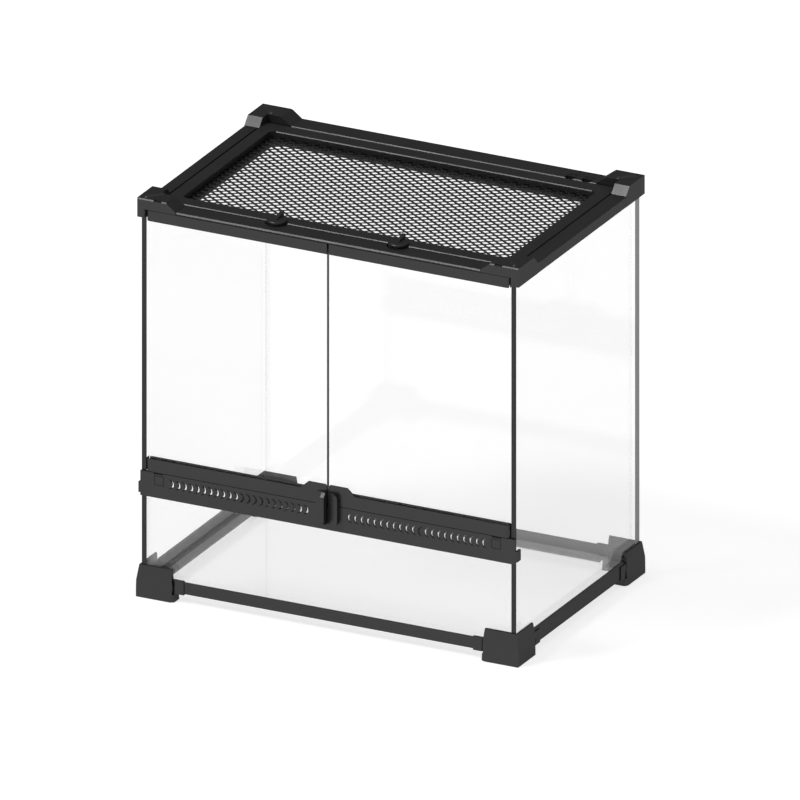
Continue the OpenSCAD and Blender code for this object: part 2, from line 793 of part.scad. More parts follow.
// Turn latch: a disc with a rising finger fin on a shaft through the lid's ear
module latch(side) {
    fin_back = latch_r + 2.2;
    fin_front = -4;
    fin_rise = 5.2;
    root = latch_low + 0.3;
    color(BLACK) translate([side * latch_x, latch_y, 0]) union() {
        translate([0, 0, latch_low]) cylinder(h = latch_t - latch_edge, r = latch_r);
        translate([0, 0, latch_low + latch_t - latch_edge])
            cylinder(h = latch_edge, r1 = latch_r, r2 = latch_r - latch_edge);
        translate([0, 0, clip_top - clip_t - gap])
            cylinder(h = root - clip_top + clip_t + gap, r = shaft_r);
        along_x([[fin_front, root], [fin_front, latch_low + latch_t],
            [fin_back - 1.5, latch_low + fin_rise], [fin_back, latch_low + fin_rise - 1],
            [fin_back - 0.6, root]], -latch_fin_w / 2, latch_fin_w / 2);
    }
}
module latch_left() { latch(-1); }
module latch_right() { latch(1); }

module latch_clip(side) {
    color(STEEL) translate([side * latch_x, latch_y, clip_top - clip_t]) difference() {
        cylinder(h = clip_t, r = clip_r);
        translate([0, 0, -eps]) cylinder(h = clip_t + 2 * eps, r = shaft_r);
    }
}
module latch_clip_left() { latch_clip(-1); }
module latch_clip_right() { latch_clip(1); }

// Sliding cover of a cable port, shown pushed back so that the notch is open
module port_cover(x) {
    play = 0.1;
    y0 = port_y + port_hole_d + 0.1;
    y1 = port_back - play;
    w = port_w / 2 - play;
    color(BLACK) translate([x, 0, 0]) union() {
        span([-w, y0, port_floor + play], [w, y1, rail_top - 0.1]);
        span([-w - port_foot, y0, port_floor + play],
            [w + port_foot, y1, port_floor + port_foot_h - play]);
        // Two grip ridges
        for (dx = [-2, 2])
            span([dx - 1.3, y0 + 2.4, rail_top - 0.5], [dx + 1.3, y0 + 3.2, rail_top + 0.5]);
    }
}
module port_cover_left() { port_cover(port_xs[0]); }
module port_cover_right() { port_cover(port_xs[1]); }

foot_front_left();
foot_front_right();
foot_rear_left();
foot_rear_right();
base_rail_front();
base_rail_rear();
base_rail_left();
base_rail_right();
bottom_glass();
back_glass();
left_glass();
right_glass();
front_glass();
edge_strip_left();
edge_strip_right();
corner_seals();
vent_strip();
corner_front_left();
corner_front_right();
corner_rear_left();
corner_rear_right();
top_rail_front();
top_rail_rear();
top_rail_left();
top_rail_right();
hinge_pins_left();
hinge_pins_right();
door_glass_left();
door_top_trim_left();
door_bottom_trim_left();
door_handle_left();
door_glass_right();
door_top_trim_right();
door_bottom_trim_right();
door_handle_right();
lid_frame();
lid_mesh();
lid_pivots();
latch_left();
latch_right();
latch_clip_left();
latch_clip_right();
port_cover_left();
port_cover_right();
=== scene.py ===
"""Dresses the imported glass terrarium: plastics, glass, the fine lid mesh and the studio."""

import math

import bmesh
import bpy
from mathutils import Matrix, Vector


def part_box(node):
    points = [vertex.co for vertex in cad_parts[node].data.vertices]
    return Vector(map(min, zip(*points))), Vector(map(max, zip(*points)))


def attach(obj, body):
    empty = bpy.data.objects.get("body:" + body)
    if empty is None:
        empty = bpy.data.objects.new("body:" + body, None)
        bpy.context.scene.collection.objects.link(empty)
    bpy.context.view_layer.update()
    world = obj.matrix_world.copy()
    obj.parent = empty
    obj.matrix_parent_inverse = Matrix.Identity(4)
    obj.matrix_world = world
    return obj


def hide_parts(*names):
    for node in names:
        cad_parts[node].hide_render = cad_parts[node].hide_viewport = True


bl_info = {
    "name": "Glass terrarium",
    "version": (1, 0, 0),
    "blender": (4, 5, 0),
    "location": "3D View > Sidebar > Terrarium",
    "description": "Dresses a packed glass terrarium with its materials, mesh and studio",
    "category": "Object",
}

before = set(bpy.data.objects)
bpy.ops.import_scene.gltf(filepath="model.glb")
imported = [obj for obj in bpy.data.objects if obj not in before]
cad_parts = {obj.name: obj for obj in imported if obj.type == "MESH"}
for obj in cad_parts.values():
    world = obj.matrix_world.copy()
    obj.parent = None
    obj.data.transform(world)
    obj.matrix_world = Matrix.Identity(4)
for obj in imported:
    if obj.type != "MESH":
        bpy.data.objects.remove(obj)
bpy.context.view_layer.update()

MM = 0.001
GLASS_IOR = 1.52
SMOOTH_LIMIT = math.radians(32)
# Points closer to each other than this count as one place
SAME_PLACE = 0.01 * MM

FEET = ["foot_front_left", "foot_front_right", "foot_rear_left", "foot_rear_right"]
BASE_RAILS = ["base_rail_front", "base_rail_rear", "base_rail_left", "base_rail_right"]
# Each panel with its glass, from GLASSES; the front panel is cut as the back one is
PANELS = {"bottom_glass": "Floor panel", "back_glass": "Back panel",
          "front_glass": "Back panel", "left_glass": "Side panel",
          "right_glass": "Side panel", "door_glass_left": "Door pane",
          "door_glass_right": "Door pane"}
# How far to the side of the tank's middle the ground edges of a glass show
NO_EDGE, SEAM_EDGE, EVERY_EDGE = 0.0, 10 * MM, 1.0
# Each glass with the axis that its polished faces look along, and which edges show
GLASSES = {"Floor panel": ("Z", NO_EDGE), "Back panel": ("Y", EVERY_EDGE),
           "Side panel": ("X", NO_EDGE), "Door pane": ("Y", SEAM_EDGE)}
EDGE_STRIPS = ["edge_strip_left", "edge_strip_right"]
CORNER_BLOCKS = ["corner_front_left", "corner_front_right",
                 "corner_rear_left", "corner_rear_right"]
TOP_RAILS = ["top_rail_front", "top_rail_rear", "top_rail_left", "top_rail_right"]
PORT_COVERS = ["port_cover_left", "port_cover_right"]
DOOR_PLASTICS = ["door_top_trim_left", "door_top_trim_right", "door_bottom_trim_left",
                 "door_bottom_trim_right", "door_handle_left", "door_handle_right"]
LATCHES = ["latch_left", "latch_right"]
STEEL_PARTS = ["hinge_pins_left", "hinge_pins_right", "lid_pivots",
               "latch_clip_left", "latch_clip_right"]

STRIP_ROUGHNESS = 0.3
STRIP_GRAIN = 1.2 * MM
# Share of what lies behind a bead that the silicone covers
SILICONE_COVER = 0.045
# How far the bond's skin stands off the side panel
BOND_STAND_OFF = 0.04 * MM
# Beside which trim a pad is, how far it reaches past the trim's end, and how far above
# the trim's lower edge it starts and ends
PADS = [("top", 1.4 * MM, 1.8 * MM, 7.8 * MM), ("bottom", 0.5 * MM, 0, 9.4 * MM)]
PAD_PLAY = 0.3 * MM
# The pad's slanting flank: its width, its length for each width at 15 degrees, and how
# far in front of the trim's middle it starts
FLANK_WIDTH = 0.62 * MM
FLANK_SLOPE = 3.73
FLANK_SHIFT = 0.2 * MM
# How far along a side the corners of a mesh opening are cut
CORNER_CUT = 0.14


# ---- colours, nodes and modifiers ------------------------------------------------------

def linear(hex_colour):
    """Linear red, green and blue of an sRGB colour such as #2b2b2b."""
    channels = [int(hex_colour[i:i + 2], 16) / 255 for i in (1, 3, 5)]
    return [c / 12.92 if c <= 0.04045 else ((c + 0.055) / 1.055) ** 2.4
            for c in channels]


def shades(colour, darkest, lightest):
    """The two ends of a mix between a darker and a lighter shade of a colour."""
    return {"A": (*[c * darkest for c in colour], 1),
            "B": (*[c * lightest for c in colour], 1)}


def add_node(tree, kind, settings=(), inputs=()):
    """Adds a node. Each input is a plain value, or the output socket that feeds it."""
    node = tree.nodes.new(kind)
    for name, value in dict(settings).items():
        setattr(node, name, value)
    for name, value in dict(inputs).items():
        if isinstance(value, bpy.types.NodeSocket):
            tree.links.new(value, node.inputs[name])
        else:
            node.inputs[name].default_value = value
    return node


def new_material(name):
    """An empty material, and its node tree."""
    material = bpy.data.materials.new(name)
    material.use_nodes = True
    material.node_tree.nodes.clear()
    return material, material.node_tree


def finish_material(tree, shader):
    add_node(tree, "ShaderNodeOutputMaterial", inputs={"Surface": shader})


def paint(node, material):
    """Gives a CAD node its material."""
    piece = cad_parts[node]
    for slot in piece.material_slots:
        slot.material = material


def smooth_by_angle():
    """Geometry nodes that shade a mesh smooth, but keep its sharp edges. They are made
    on their first use."""
    name = "Smooth below angle"
    if name in bpy.data.node_groups:
        return bpy.data.node_groups[name]
    tree = bpy.data.node_groups.new(name, "GeometryNodeTree")
    for direction in ("INPUT", "OUTPUT"):
        tree.interface.new_socket("Geometry", in_out=direction,
                                  socket_type="NodeSocketGeometry")
    source = add_node(tree, "NodeGroupInput")
    plain = add_node(tree, "GeometryNodeRemoveAttribute", inputs={
        "Geometry": source.outputs[0], "Name": "custom_normal"})
    faces = add_node(tree, "GeometryNodeSetShadeSmooth", {"domain": "FACE"},
                     {"Geometry": plain.outputs[0]})
    angle = add_node(tree, "GeometryNodeInputMeshEdgeAngle")
    sharp = add_node(tree, "FunctionNodeCompare", {"operation": "GREATER_THAN"},
                     {0: angle.outputs[0], 1: SMOOTH_LIMIT})
    edges = add_node(tree, "GeometryNodeSetShadeSmooth", {"domain": "EDGE"}, {
        "Geometry": faces.outputs[0], "Selection": sharp.outputs[0],
        "Shade Smooth": False})
    add_node(tree, "NodeGroupOutput", inputs={0: edges.outputs[0]})
    return tree


def round_edges(node, radius):
    """Rounds the edges of a plastic CAD node, as its mould or die would."""
    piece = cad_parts[node]
    weld = piece.modifiers.new("Weld", "WELD")
    weld.merge_threshold = 0.005 * MM
    flat = piece.modifiers.new("Join flat faces", "DECIMATE")
    flat.decimate_type = "DISSOLVE"
    flat.angle_limit = math.radians(0.5)
    bevel = piece.modifiers.new("Mould radius", "BEVEL")
    bevel.width = radius
    bevel.segments = 2
    bevel.limit_method = "ANGLE"
    bevel.angle_limit = math.radians(35)
    smooth = piece.modifiers.new("Smooth", "NODES")
    smooth.node_group = smooth_by_angle()
    # Only the rounded edges take a slanting shade; the flat faces stay flat
    even = piece.modifiers.new("Flat faces", "WEIGHTED_NORMAL")
    even.keep_sharp = True


def step_left_rail(width):
    """Cuts a square step into the left rail's top edge next to the lid."""
    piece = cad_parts["top_rail_left"]
    points = piece.data.vertices
    top = max(point.co.z for point in points) - SAME_PLACE
    edge = max(point.co.x for point in points if point.co.z > top) - SAME_PLACE
    group = piece.vertex_groups.new(name="Edge at the lid")
    group.add([point.index for point in points
               if point.co.z > top and point.co.x > edge], 1.0, "REPLACE")
    step = piece.modifiers.new("Step at the lid", "BEVEL")
    step.width = width
    step.segments = 2
    step.profile = 0
    step.limit_method = "VGROUP"
    step.vertex_group = group.name
    # After the flat faces are joined, before the mould radius
    piece.modifiers.move(len(piece.modifiers) - 1, piece.modifiers.find("Mould radius"))


# ---- materials -------------------------------------------------------------------------

def grained_plastic(name, colour, gloss_share, roughness, grain):
    """ABS injected into a spark-eroded mould, or PVC pressed through a die: its fine even
    grain breaks the gloss and hides the stronger one at a low angle, so that it has the
    same share all round. Slow changes in roughness come from the flow of the melt. The
    real grain is about 0.1 mm; it is drawn at the coarser grain given, so that it shows."""
    material, tree = new_material(name)
    place = add_node(tree, "ShaderNodeTexCoord").outputs["Object"]
    flow = add_node(tree, "ShaderNodeTexNoise", inputs={
        "Vector": place, "Scale": 1 / (30 * MM), "Detail": 2.0})
    pits = add_node(tree, "ShaderNodeTexNoise", inputs={
        "Vector": place, "Scale": 1 / grain, "Detail": 3.0, "Roughness": 0.6})
    tone = add_node(tree, "ShaderNodeMix", {"data_type": "RGBA"}, {
        "Factor": flow.outputs["Fac"], **shades(colour, 0.9, 1.1)})
    gloss = add_node(tree, "ShaderNodeMapRange", inputs={
        "Value": flow.outputs["Fac"], "From Min": 0.3, "From Max": 0.7,
        "To Min": roughness - 0.03, "To Max": roughness + 0.03})
    relief = add_node(tree, "ShaderNodeBump", inputs={
        "Height": pits.outputs["Fac"], "Strength": 0.12, "Distance": 0.05 * MM})
    body = add_node(tree, "ShaderNodeBsdfDiffuse", inputs={
        "Color": tone.outputs[2], "Normal": relief.outputs["Normal"]})
    skin = add_node(tree, "ShaderNodeBsdfGlossy", inputs={
        "Roughness": gloss.outputs["Result"], "Normal": relief.outputs["Normal"]})
    shader = add_node(tree, "ShaderNodeMixShader", inputs={
        0: gloss_share, 1: body.outputs[0], 2: skin.outputs[0]})
    finish_material(tree, shader.outputs[0])
    return material


def float_glass(name, facing, tint, edge_colour, frosted_to):
    """Clear soda-lime float glass: its two faces are fire-polished and mirror a little of
    the room, and its cut edges are ground to an even grey frost. facing is the axis that
    the polished faces look along. Edges further than frosted_to from the tank's middle
    are left clear: those of the fixed panels are bonded to the next one."""
    material, tree = new_material(name)
    geometry = add_node(tree, "ShaderNodeNewGeometry")
    # Light leaves the panel by the same share as it enters, so the inner side of a face
    # takes the inverse index
    index = add_node(tree, "ShaderNodeMix", {"data_type": "FLOAT"}, {
        "Factor": geometry.outputs["Backfacing"], "A": GLASS_IOR, "B": 1 / GLASS_IOR})
    share = add_node(tree, "ShaderNodeFresnel", inputs={"IOR": index.outputs[0]})
    clear = add_node(tree, "ShaderNodeBsdfTransparent", inputs={"Color": (*tint, 1)})
    mirror = add_node(tree, "ShaderNodeBsdfGlossy", inputs={"Roughness": 0.0})
    face = add_node(tree, "ShaderNodeMixShader", inputs={
        0: share.outputs[0], 1: clear.outputs[0], 2: mirror.outputs[0]})
    # The ground edge, mottled by the grinding belt, whose marks are drawn at 0.8 mm
    place = add_node(tree, "ShaderNodeTexCoord").outputs["Object"]
    marks = add_node(tree, "ShaderNodeTexNoise", inputs={
        "Vector": place, "Scale": 1 / (0.8 * MM), "Detail": 2.0})
    frost = add_node(tree, "ShaderNodeMix", {"data_type": "RGBA"}, {
        "Factor": marks.outputs["Fac"], **shades(edge_colour, 0.85, 1.15)})
    edge = add_node(tree, "ShaderNodeBsdfPrincipled", inputs={
        "Base Color": frost.outputs[2], "Roughness": 0.45, "IOR": GLASS_IOR})
    # From inside the glass, and beyond frosted_to, an edge doesn't show
    spot = add_node(tree, "ShaderNodeSeparateXYZ", inputs={0: place})
    aside = add_node(tree, "ShaderNodeMath", {"operation": "ABSOLUTE"}, {
        0: spot.outputs["X"]})
    far = add_node(tree, "ShaderNodeMath", {"operation": "GREATER_THAN"}, {
        0: aside.outputs[0], 1: frosted_to})
    hidden = add_node(tree, "ShaderNodeMath", {"operation": "MAXIMUM"}, {
        0: far.outputs[0], 1: geometry.outputs["Backfacing"]})
    edge = add_node(tree, "ShaderNodeMixShader", inputs={
        0: hidden.outputs[0], 1: edge.outputs[0], 2: clear.outputs[0]})
    normal = add_node(tree, "ShaderNodeSeparateXYZ", inputs={
        0: geometry.outputs["True Normal"]})
    along = add_node(tree, "ShaderNodeMath", {"operation": "ABSOLUTE"}, {
        0: normal.outputs[facing]})
    # A polished face has this part of its normal near 1, and a cut edge near 0
    polished = add_node(tree, "ShaderNodeMath", {"operation": "GREATER_THAN"}, {
        0: along.outputs[0], 1: 0.5})
    shader = add_node(tree, "ShaderNodeMixShader", inputs={
        0: polished.outputs[0], 1: edge.outputs[0], 2: face.outputs[0]})
    finish_material(tree, shader.outputs[0])
    return material


def silicone(name, colour):
    """Clear neutral-cure silicone, tooled by finger: it lets most light through, and its
    skin is softly glossy with a slow ripple."""
    material, tree = new_material(name)
    place = add_node(tree, "ShaderNodeTexCoord").outputs["Object"]
    ripple = add_node(tree, "ShaderNodeTexNoise", inputs={
        "Vector": place, "Scale": 1 / (6 * MM), "Detail": 1.0})
    relief = add_node(tree, "ShaderNodeBump", inputs={
        "Height": ripple.outputs["Fac"], "Strength": 0.1, "Distance": 0.4 * MM})
    skin = add_node(tree, "ShaderNodeBsdfPrincipled", inputs={
        "Base Color": (*colour, 1), "Roughness": 0.3, "IOR": 1.41,
        "Normal": relief.outputs["Normal"]})
    clear = add_node(tree, "ShaderNodeBsdfTransparent")
    shader = add_node(tree, "ShaderNodeMixShader", inputs={
        0: SILICONE_COVER, 1: clear.outputs[0], 2: skin.outputs[0]})
    finish_material(tree, shader.outputs[0])
    return material


def coated_mesh_metal(name, colour):
    """Expanded steel sheet with a black powder coat: the baked powder leaves an even
    semi-matt skin with a slight orange peel, drawn at 1.5 mm."""
    material, tree = new_material(name)
    place = add_node(tree, "ShaderNodeTexCoord").outputs["Object"]
    peel = add_node(tree, "ShaderNodeTexNoise", inputs={
        "Vector": place, "Scale": 1 / (1.5 * MM), "Detail": 1.0})
    tone = add_node(tree, "ShaderNodeMix", {"data_type": "RGBA"}, {
        "Factor": peel.outputs["Fac"], **shades(colour, 0.85, 1.15)})
    relief = add_node(tree, "ShaderNodeBump", inputs={
        "Height": peel.outputs["Fac"], "Strength": 0.2, "Distance": 0.1 * MM})
    shader = add_node(tree, "ShaderNodeBsdfPrincipled", inputs={
        "Base Color": tone.outputs[2], "Roughness": 0.42,
        "Normal": relief.outputs["Normal"]})
    finish_material(tree, shader.outputs[0])
    return material


def drawn_steel(name, colour):
    """Stainless wire, drawn through a die: bright metal whose gloss varies finely with
    the marks of the die, which are shown at 0.4 mm."""
    material, tree = new_material(name)
    place = add_node(tree, "ShaderNodeTexCoord").outputs["Object"]
    marks = add_node(tree, "ShaderNodeTexNoise", inputs={
        "Vector": place, "Scale": 1 / (0.4 * MM), "Detail": 2.0})
    gloss = add_node(tree, "ShaderNodeMapRange", inputs={
        "Value": marks.outputs["Fac"], "To Min": 0.2, "To Max": 0.4})
    shader = add_node(tree, "ShaderNodeBsdfPrincipled", inputs={
        "Base Color": (*colour, 1), "Metallic": 1.0,
        "Roughness": gloss.outputs["Result"]})
    finish_material(tree, shader.outputs[0])
    return material


def studio_floor(name, colour, wash, white):
    """Matt white paper, laid flat, with fibres drawn at 2 mm. What the camera, glass and
    gloss see of it is washed out towards white by the share wash, and the rest keeps the
    object's shadow."""
    material, tree = new_material(name)
    place = add_node(tree, "ShaderNodeTexCoord").outputs["Object"]
    fibre = add_node(tree, "ShaderNodeTexNoise", inputs={
        "Vector": place, "Scale": 1 / (2 * MM), "Detail": 2.0})
    tone = add_node(tree, "ShaderNodeMix", {"data_type": "RGBA"}, {
        "Factor": fibre.outputs["Fac"], **shades(colour, 0.995, 1)})
    paper = add_node(tree, "ShaderNodeBsdfDiffuse", inputs={"Color": tone.outputs[2]})
    rays = add_node(tree, "ShaderNodeLightPath")
    seen = rays.outputs["Is Camera Ray"]
    for kind in ("Is Glossy Ray", "Is Transmission Ray"):
        seen = add_node(tree, "ShaderNodeMath", {"operation": "MAXIMUM"}, {
            0: seen, 1: rays.outputs[kind]}).outputs[0]
    share = add_node(tree, "ShaderNodeMath", {"operation": "MULTIPLY"}, {
        0: seen, 1: wash})
    glow = add_node(tree, "ShaderNodeEmission", inputs={"Strength": white})
    shader = add_node(tree, "ShaderNodeMixShader", inputs={
        0: share.outputs[0], 1: paper.outputs[0], 2: glow.outputs[0]})
    finish_material(tree, shader.outputs[0])
    return material


# ---- settings --------------------------------------------------------------------------

class TerrariumFinishes(bpy.types.PropertyGroup):
    plastic: bpy.props.FloatVectorProperty(
        name="Plastic", description="Colour of the moulded ABS", subtype="COLOR",
        default=linear("#303030"), min=0, max=1)
    plastic_roughness: bpy.props.FloatProperty(
        name="Plastic roughness", description="Roughness of the moulded ABS",
        subtype="FACTOR", default=0.34, min=0, max=1)
    plastic_gloss: bpy.props.FloatProperty(
        name="Plastic gloss", description="Share of the light that plastic mirrors",
        subtype="FACTOR", default=0.049, min=0, max=1)
    plastic_grain: bpy.props.FloatProperty(
        name="Plastic grain", description="Distance between the drawn grain's pits",
        unit="LENGTH", default=0.6 * MM, min=0.1 * MM, max=2 * MM)
    edge_strip: bpy.props.FloatVectorProperty(
        name="Edge strip", description="Colour of the extruded edge strips",
        subtype="COLOR", default=linear("#161616"), min=0, max=1)
    glass_tint: bpy.props.FloatVectorProperty(
        name="Glass tint", description="What one face of the glass lets through",
        subtype="COLOR", default=linear("#fefefe"), min=0, max=1)
    glass_edge: bpy.props.FloatVectorProperty(
        name="Ground edge", description="Colour of the ground glass edges",
        subtype="COLOR", default=linear("#8c8f8e"), min=0, max=1)
    door_edge: bpy.props.FloatVectorProperty(
        name="Seam edge", description="Colour of the door panes' edges at the seam",
        subtype="COLOR", default=linear("#2a2b2b"), min=0, max=1)
    silicone: bpy.props.FloatVectorProperty(
        name="Silicone", description="Colour of the silicone beads", subtype="COLOR",
        default=linear("#d9dddc"), min=0, max=1)
    bond: bpy.props.FloatVectorProperty(
        name="Bond", description="Colour of the bond along the rear edges",
        subtype="COLOR", default=linear("#9c9e9e"), min=0, max=1)
    bond_width: bpy.props.FloatProperty(
        name="Bond width", description="How far the bond laps over a side panel",
        unit="LENGTH", default=2.8 * MM, min=0, max=5 * MM)
    mesh_metal: bpy.props.FloatVectorProperty(
        name="Mesh", description="Colour of the coated mesh", subtype="COLOR",
        default=linear("#222222"), min=0, max=1)
    steel: bpy.props.FloatVectorProperty(
        name="Steel", description="Colour of the pins and clips", subtype="COLOR",
        default=linear("#c8c9cc"), min=0, max=1)
    mould_radius: bpy.props.FloatProperty(
        name="Mould radius", description="Radius of the plastic pieces' edges",
        unit="LENGTH", default=0.3 * MM, min=0.05 * MM, max=0.6 * MM)
    lid_edge: bpy.props.FloatProperty(
        name="Step at the lid", description="Step in the left rail's edge at the lid",
        unit="LENGTH", default=1.8 * MM, min=0.3 * MM, max=2.5 * MM)


class TerrariumMesh(bpy.types.PropertyGroup):
    cell_long: bpy.props.FloatProperty(
        name="Long diagonal", description="Length of a diamond along the tank's width",
        unit="LENGTH", default=9.1 * MM, min=5 * MM, max=15 * MM)
    cell_short: bpy.props.FloatProperty(
        name="Short diagonal", description="Length of a diamond along the tank's depth",
        unit="LENGTH", default=6.3 * MM, min=3 * MM, max=12 * MM)
    strand: bpy.props.FloatProperty(
        name="Strand", description="Width of a strand between two openings",
        unit="LENGTH", default=1.9 * MM, min=0.5 * MM, max=2.5 * MM)
    thickness: bpy.props.FloatProperty(
        name="Sheet", description="Thickness of the sheet", unit="LENGTH",
        default=0.5 * MM, min=0.3 * MM, max=0.6 * MM)
    tilt: bpy.props.FloatProperty(
        name="Tilt", description="How far the stretching turns a strand's rear edge up",
        unit="LENGTH", default=-0.15 * MM, min=-0.6 * MM, max=0.6 * MM)


class TerrariumStage(bpy.types.PropertyGroup):
    azimuth: bpy.props.FloatProperty(
        name="Azimuth", description="Camera's turn round to the right of the front",
        subtype="ANGLE", default=math.radians(26.59))
    elevation: bpy.props.FloatProperty(
        name="Elevation", description="Camera's angle above the horizon",
        subtype="ANGLE", default=math.radians(21.97))
    picture_width: bpy.props.FloatProperty(
        name="Picture width", description="What the picture spans at the object",
        unit="LENGTH", default=559.05 * MM)
    aim_right: bpy.props.FloatProperty(
        name="Aim right", description="Picture's middle, to the right of the origin",
        unit="LENGTH", default=6.57 * MM)
    aim_up: bpy.props.FloatProperty(
        name="Aim up", description="Picture's middle, above the origin",
        unit="LENGTH", default=128.9 * MM)
    floor: bpy.props.FloatVectorProperty(
        name="Floor", description="Colour of the paper floor", subtype="COLOR",
        default=linear("#f5f5f5"), min=0, max=1)
    floor_wash: bpy.props.FloatProperty(
        name="Floor wash", description="How far the floor as seen is washed out to white",
        default=0.35, min=0, max=1)
    floor_white: bpy.props.FloatProperty(
        name="Floor white", description="Strength of the white that washes the floor out",
        default=2.13, min=0, max=4)
    key_direction: bpy.props.FloatVectorProperty(
        name="Key light", description="Direction that the key light comes from",
        subtype="DIRECTION", default=(-0.43, -0.42, 0.80))
    key_strength: bpy.props.FloatProperty(
        name="Key strength", description="Strength of the key light", default=1.0,
        min=0)
    key_angle: bpy.props.FloatProperty(
        name="Key angle", description="Angle that the soft key light spans",
        subtype="ANGLE", default=math.radians(16))


# ---- pieces ----------------------------------------------------------------------------

def diamond_ring(half_long, half_short, hole, blunt):
    """Points of one mesh cell, round its centre: the diamond outline with two points on
    each side near its corners, and the opening's eight points. hole is the opening's
    share of the diamond, and blunt how far along a side its corners are cut."""
    corners = [Vector((half_long, 0, 0)), Vector((0, half_short, 0)),
               Vector((-half_long, 0, 0)), Vector((0, -half_short, 0))]
    outline, opening = [], []
    for i, corner in enumerate(corners):
        after = corners[(i + 1) % 4]
        start, end = corner.lerp(after, blunt), corner.lerp(after, 1 - blunt)
        outline += [corner, start, end]
        opening += [start * hole, end * hole]
    return outline, opening


def expanded_mesh(low, high, settings):
    """Builds the lid's sheet of expanded metal between the corners low and high."""
    half_long, half_short = settings.cell_long / 2, settings.cell_short / 2
    side_distance = half_long * half_short / math.hypot(half_long, half_short)
    hole = 1 - settings.strand / 2 / side_distance
    outline, opening = diamond_ring(half_long, half_short, hole, CORNER_CUT)
    middle = (low + high) / 2
    reach_x, reach_y = (high - low).x / 2, (high - low).y / 2
    columns = math.ceil(reach_x / settings.cell_long)
    rows = math.ceil(reach_y / settings.cell_short)
    sheet = bmesh.new()
    for column in range(-columns, columns + 1):
        for row in range(-rows, rows + 1):
            for half in (0, 0.5):
                centre = Vector((middle.x + (column + half) * settings.cell_long,
                                 middle.y + (row + half) * settings.cell_short,
                                 middle.z))
                outer = [sheet.verts.new(centre + p) for p in outline]
                inner = []
                for p in opening:
                    lift = -settings.tilt if p.y > 0 else settings.tilt
                    inner.append(sheet.verts.new(centre + p + Vector((0, 0, lift))))
                for i in range(4):
                    last = inner[2 * i - 1]
                    start, end = inner[2 * i], inner[2 * i + 1]
                    corner, near, far = outer[3 * i:3 * i + 3]
                    sheet.faces.new((near, far, end, start))
                    sheet.faces.new((outer[3 * i - 1], corner, near, start, last))
    bmesh.ops.remove_doubles(sheet, verts=sheet.verts, dist=SAME_PLACE)
    for side, limit in ((Vector((1, 0, 0)), high), (Vector((-1, 0, 0)), low),
                        (Vector((0, 1, 0)), high), (Vector((0, -1, 0)), low)):
        bmesh.ops.bisect_plane(
            sheet, geom=sheet.verts[:] + sheet.edges[:] + sheet.faces[:],
            plane_co=limit, plane_no=side, clear_outer=True)
    bmesh.ops.recalc_face_normals(sheet, faces=sheet.faces)
    return sheet


def add_piece(name, made):
    """Puts a finished bmesh in the scene as an object."""
    mesh = bpy.data.meshes.new(name)
    made.to_mesh(mesh)
    made.free()
    piece = bpy.data.objects.new(name, mesh)
    bpy.context.scene.collection.objects.link(piece)
    return piece


def wall(outline, low, high, closed=False):
    """A bmesh with this outline in X and Y, anticlockwise, from low to high. A closed one
    is a solid."""
    made = bmesh.new()
    bottom = [made.verts.new((x, y, low)) for x, y in outline]
    top = [made.verts.new((x, y, high)) for x, y in outline]
    for i in range(0 if closed else 1, len(outline)):
        made.faces.new((bottom[i - 1], bottom[i], top[i], top[i - 1]))
    if closed:
        made.faces.new(reversed(bottom))
        made.faces.new(top)
    return made


def mirrored(outline):
    """The same outline on the left side."""
    return [(-x, y) for x, y in reversed(outline)]


def shared_material(name, make, *settings):
    """The material of that name, made on its first use."""
    return bpy.data.materials.get(name) or make(name, *settings)


def moulded_abs():
    """The tank's dark plastic, in the finishes that are set."""
    finishes = bpy.context.scene.terrarium_finishes
    return shared_material(
        "Moulded ABS", grained_plastic, finishes.plastic[:], finishes.plastic_gloss,
        finishes.plastic_roughness, finishes.plastic_grain)


def dress_plastic(nodes, material):
    """Rounds the edges of plastic nodes and gives them their material."""
    for node in nodes:
        round_edges(node, bpy.context.scene.terrarium_finishes.mould_radius)
        paint(node, material)


class TERRARIUM_OT_base(bpy.types.Operator):
    """Dress the four feet and the base rails between them"""
    bl_idname = "terrarium.base"
    bl_label = "Base"

    def execute(self, context):
        dress_plastic(FEET + BASE_RAILS, moulded_abs())
        return {"FINISHED"}


class TERRARIUM_OT_glass(bpy.types.Operator):
    """Dress the fixed panels and the two doors' panes in float glass"""
    bl_idname = "terrarium.glass"
    bl_label = "Glass"

    def execute(self, context):
        finishes = context.scene.terrarium_finishes
        for node, glass in PANELS.items():
            facing, frosted_to = GLASSES[glass]
            # The door panes' edges at the seam are drawn in a dark grey, not in the grey
            # frost of the other panels' edges
            edge = finishes.door_edge if glass == "Door pane" else finishes.glass_edge
            paint(node, shared_material(f"Float glass {glass}", float_glass, facing,
                                        finishes.glass_tint[:], edge[:], frosted_to))
        return {"FINISHED"}


class TERRARIUM_OT_edge_strips(bpy.types.Operator):
    """Dress the black strips over the side panels' front edges"""
    bl_idname = "terrarium.edge_strips"
    bl_label = "Edge strips"

    def execute(self, context):
        finishes = context.scene.terrarium_finishes
        dress_plastic(EDGE_STRIPS, shared_material(
            "Extruded PVC", grained_plastic, finishes.edge_strip[:],
            finishes.plastic_gloss, STRIP_ROUGHNESS, STRIP_GRAIN))
        return {"FINISHED"}


